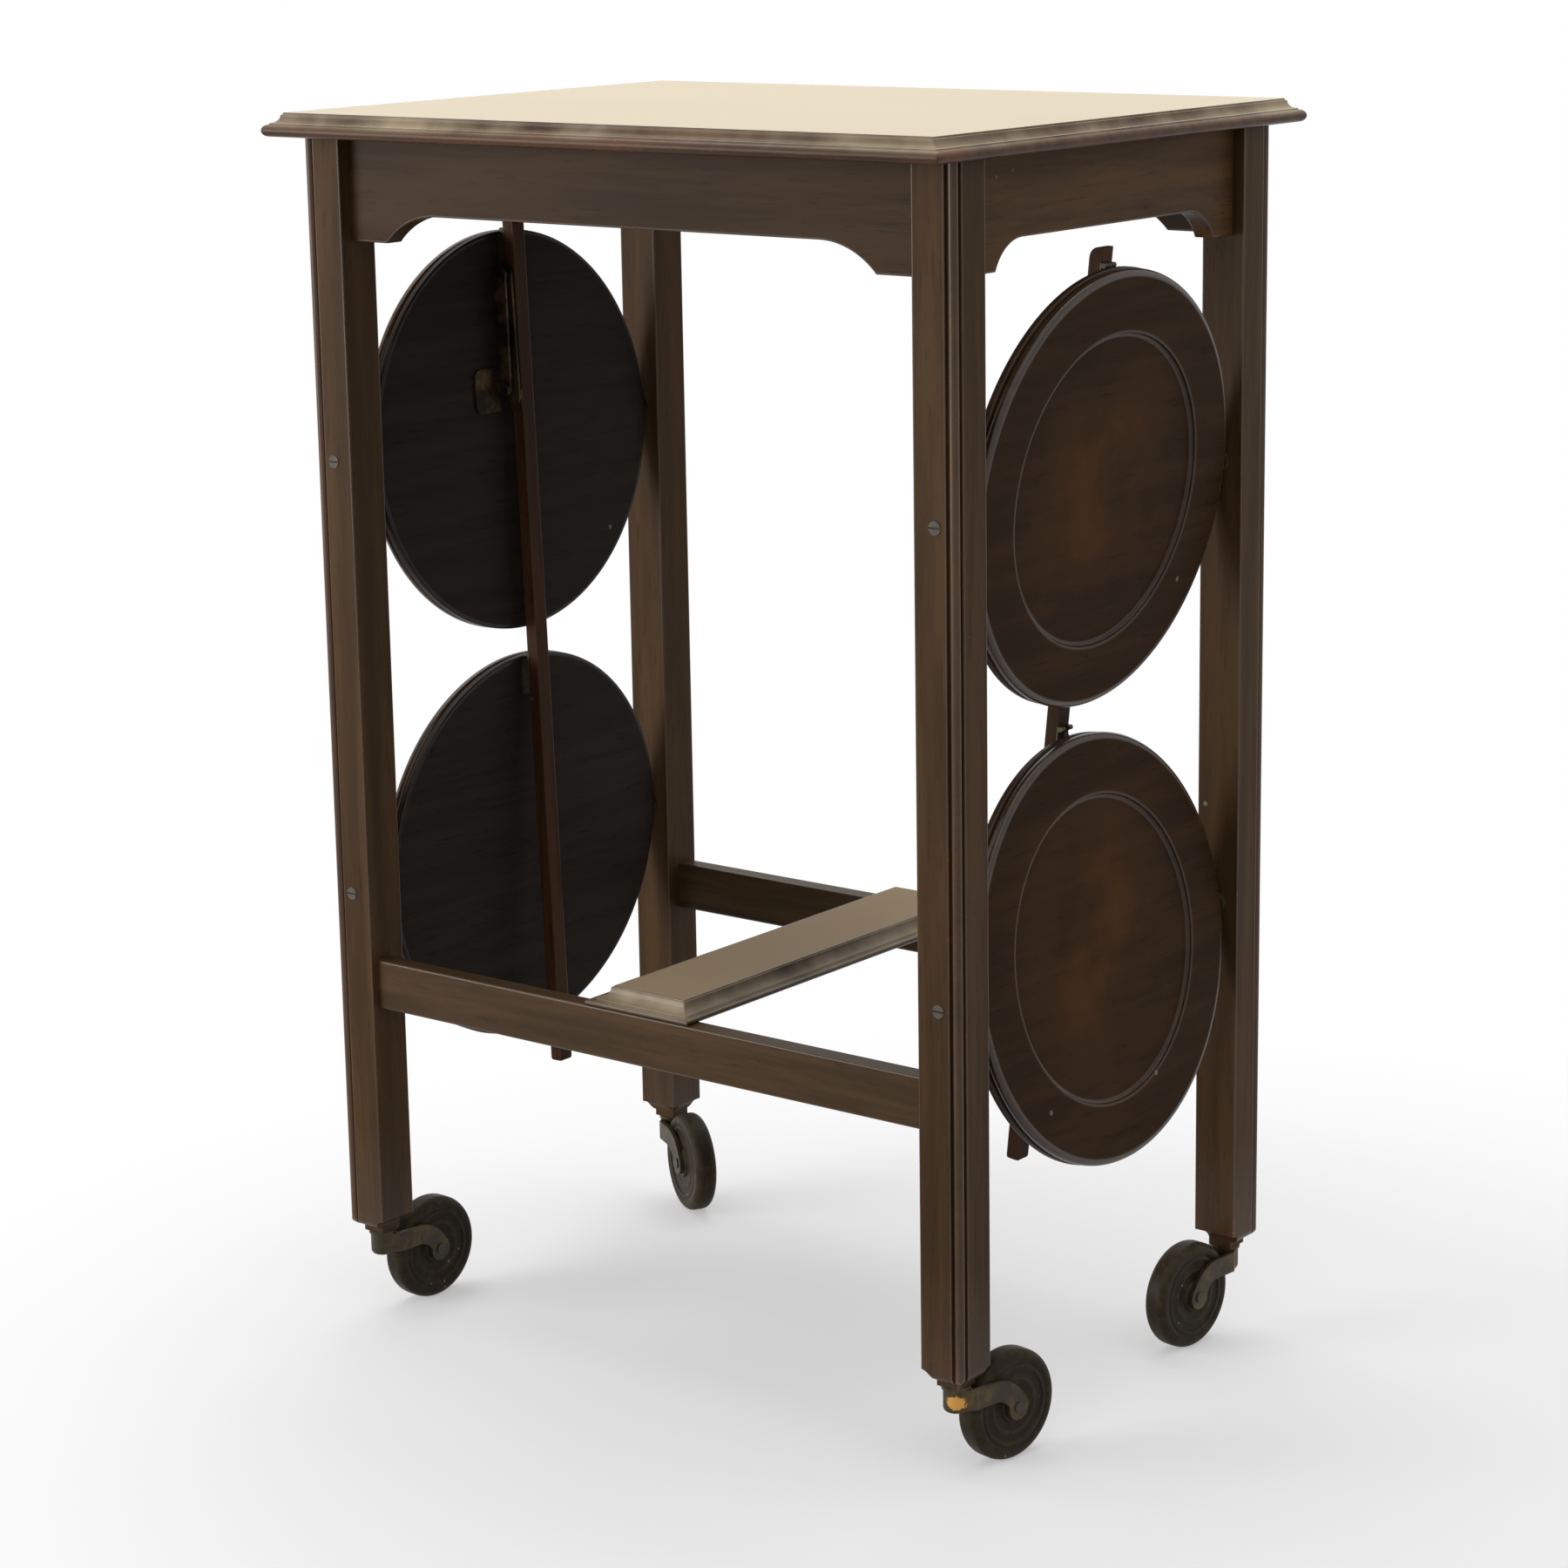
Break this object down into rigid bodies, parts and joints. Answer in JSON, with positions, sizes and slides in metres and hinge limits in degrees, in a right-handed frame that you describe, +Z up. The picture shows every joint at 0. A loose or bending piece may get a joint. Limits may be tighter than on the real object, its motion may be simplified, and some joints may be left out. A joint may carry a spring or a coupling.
{
  "type": "serving trolley",
  "caption": "Dark varnished trolley: moulded top on square beaded legs with casters, round trays that swing level from each end, linked by bars and brass stays, plank shelf below.",
  "frame": {"origin": "centre of the table top's upper face", "axes": "+Z up, X along the long side, the side seen at the left in the picture faces -Y"},
  "size_m": [0.498, 0.371, 0.762],
  "materials": {
    "varnished_top": "glossy dark varnish",
    "frame_wood": "dark varnish, semi-gloss",
    "tray_wood": "dark varnish, semi-gloss",
    "inner_wood": "unfinished",
    "brass": "tarnished",
    "steel": "dull",
    "wheel_rubber": "worn, satin"
  },
  "bodies": {
    "frame": {"top_board": "varnished_top", "leg_front_left": "frame_wood", "leg_front_right": "frame_wood", "leg_back_left": "frame_wood", "leg_back_right": "frame_wood", "apron_front": "frame_wood", "apron_back": "frame_wood", "apron_left": "frame_wood", "apron_right": "frame_wood", "rail_front": "varnished_top", "rail_back": "varnished_top", "shelf_board": "varnished_top", "top_blocks": "inner_wood", "top_screws": "steel", "pivot_screws_left": "steel", "pivot_screws_right": "steel", "pivot_washers": "brass", "socket_front_left": "brass", "socket_front_right": "brass", "socket_back_left": "brass", "socket_back_right": "brass"},
    "upper_tray_left": {"tray_upper_left": "tray_wood", "tray_leaf_upper_left": "brass", "stay_bracket_left": "brass"},
    "lower_tray_left": {"tray_lower_left": "tray_wood", "tray_leaf_lower_left": "brass"},
    "bar_left": {"link_bar_left": "frame_wood", "bar_leaves_left": "brass", "hinge_pin_left": "steel", "stay_anchor_left": "brass"},
    "arm_left": {"stay_arm_left": "brass"},
    "link_left": {"stay_link_left": "brass"},
    "upper_tray_right": {"tray_upper_right": "tray_wood", "tray_leaf_upper_right": "brass", "stay_bracket_right": "brass"},
    "lower_tray_right": {"tray_lower_right": "tray_wood", "tray_leaf_lower_right": "brass"},
    "bar_right": {"link_bar_right": "frame_wood", "bar_leaves_right": "brass", "hinge_pin_right": "steel", "stay_anchor_right": "brass"},
    "arm_right": {"stay_arm_right": "brass"},
    "link_right": {"stay_link_right": "brass"},
    "horn_front_left": {"horn_front_left": "brass", "axle_front_left": "steel"},
    "wheel_front_left": {"wheel_front_left": "wheel_rubber"},
    "horn_front_right": {"horn_front_right": "brass", "axle_front_right": "steel"},
    "wheel_front_right": {"wheel_front_right": "wheel_rubber"},
    "horn_back_left": {"horn_back_left": "brass", "axle_back_left": "steel"},
    "wheel_back_left": {"wheel_back_left": "wheel_rubber"},
    "horn_back_right": {"horn_back_right": "brass", "axle_back_right": "steel"},
    "wheel_back_right": {"wheel_back_right": "wheel_rubber"}
  },
  "joints": [
    {"name": "upper_tray_hinge_left", "type": "hinge", "parent": "frame", "child": "upper_tray_left", "pos_m": [-0.22575, 0, -0.2104], "axis": [0, 1, 0], "range_deg": [0, 92]},
    {"name": "lower_tray_hinge_left", "type": "hinge", "parent": "frame", "child": "lower_tray_left", "pos_m": [-0.22575, 0, -0.4819], "axis": [0, 1, 0], "range_deg": [0, 87.6]},
    {"name": "bar_hinge_left", "type": "hinge", "parent": "upper_tray_left", "child": "bar_left", "pos_m": [-0.2227, 0, -0.08272], "axis": [0, 1, 0], "range_deg": [-89.94, 0]},
    {"name": "stay_arm_hinge_left", "type": "hinge", "parent": "upper_tray_left", "child": "arm_left", "pos_m": [-0.21538, 0, -0.18202], "axis": [0, 1, 0], "range_deg": [0, 28.76]},
    {"name": "stay_link_hinge_left", "type": "hinge", "parent": "arm_left", "child": "link_left", "pos_m": [-0.21702, 0, -0.10954], "axis": [0, 1, 0], "range_deg": [-150.67, 0]},
    {"name": "upper_tray_hinge_right", "type": "hinge", "parent": "frame", "child": "upper_tray_right", "pos_m": [0.22575, 0, -0.2104], "axis": [0, -1, 0], "range_deg": [0, 96.3]},
    {"name": "lower_tray_hinge_right", "type": "hinge", "parent": "frame", "child": "lower_tray_right", "pos_m": [0.22575, 0, -0.4819], "axis": [0, -1, 0], "range_deg": [0, 82.9]},
    {"name": "bar_hinge_right", "type": "hinge", "parent": "upper_tray_right", "child": "bar_right", "pos_m": [0.23229, 0, -0.08285], "axis": [0, -1, 0], "range_deg": [-90.09, 0]},
    {"name": "stay_arm_hinge_right", "type": "hinge", "parent": "upper_tray_right", "child": "arm_right", "pos_m": [0.21754, 0, -0.18132], "axis": [0, -1, 0], "range_deg": [0, 28.41]},
    {"name": "stay_link_hinge_right", "type": "hinge", "parent": "arm_right", "child": "link_right", "pos_m": [0.22417, 0, -0.10913], "axis": [0, -1, 0], "range_deg": [-150.85, 0]},
    {"name": "swivel_front_left", "type": "hinge", "parent": "frame", "child": "horn_front_left", "pos_m": [-0.22575, -0.14475, -0.7065], "axis": [0, 0, 1], "continuous": true},
    {"name": "wheel_spin_front_left", "type": "hinge", "parent": "horn_front_left", "child": "wheel_front_left", "pos_m": [-0.22296, -0.10485, -0.7288], "axis": [-0.9976, 0.0698, 0], "continuous": true},
    {"name": "swivel_front_right", "type": "hinge", "parent": "frame", "child": "horn_front_right", "pos_m": [0.22575, -0.14475, -0.7065], "axis": [0, 0, 1], "continuous": true},
    {"name": "wheel_spin_front_right", "type": "hinge", "parent": "horn_front_right", "child": "wheel_front_right", "pos_m": [0.2327, -0.10536, -0.7288], "axis": [-0.9848, 0.1736, 0], "continuous": true},
    {"name": "swivel_back_left", "type": "hinge", "parent": "frame", "child": "horn_back_left", "pos_m": [-0.22575, 0.14475, -0.7065], "axis": [0, 0, 1], "continuous": true},
    {"name": "wheel_spin_back_left", "type": "hinge", "parent": "horn_back_left", "child": "wheel_back_left", "pos_m": [-0.19146, 0.12415, -0.7288], "axis": [0.515, 0.8572, 0], "continuous": true},
    {"name": "swivel_back_right", "type": "hinge", "parent": "frame", "child": "horn_back_right", "pos_m": [0.22575, 0.14475, -0.7065], "axis": [0, 0, 1], "continuous": true},
    {"name": "wheel_spin_back_right", "type": "hinge", "parent": "horn_back_right", "child": "wheel_back_right", "pos_m": [0.22157, 0.10497, -0.7288], "axis": [0.9945, -0.1045, 0], "continuous": true}
  ],
  "couplings": [
    {"joint": "lower_tray_hinge_left", "follows": "upper_tray_hinge_left", "ratio": 0.95217},
    {"joint": "bar_hinge_left", "follows": "upper_tray_hinge_left", "ratio": -0.97761},
    {"joint": "stay_arm_hinge_left", "follows": "upper_tray_hinge_left", "ratio": 0.31262},
    {"joint": "stay_link_hinge_left", "follows": "upper_tray_hinge_left", "ratio": -1.6377},
    {"joint": "lower_tray_hinge_right", "follows": "upper_tray_hinge_right", "ratio": 0.86085},
    {"joint": "bar_hinge_right", "follows": "upper_tray_hinge_right", "ratio": -0.93555},
    {"joint": "stay_arm_hinge_right", "follows": "upper_tray_hinge_right", "ratio": 0.29507},
    {"joint": "stay_link_hinge_right", "follows": "upper_tray_hinge_right", "ratio": -1.5665}
  ]
}
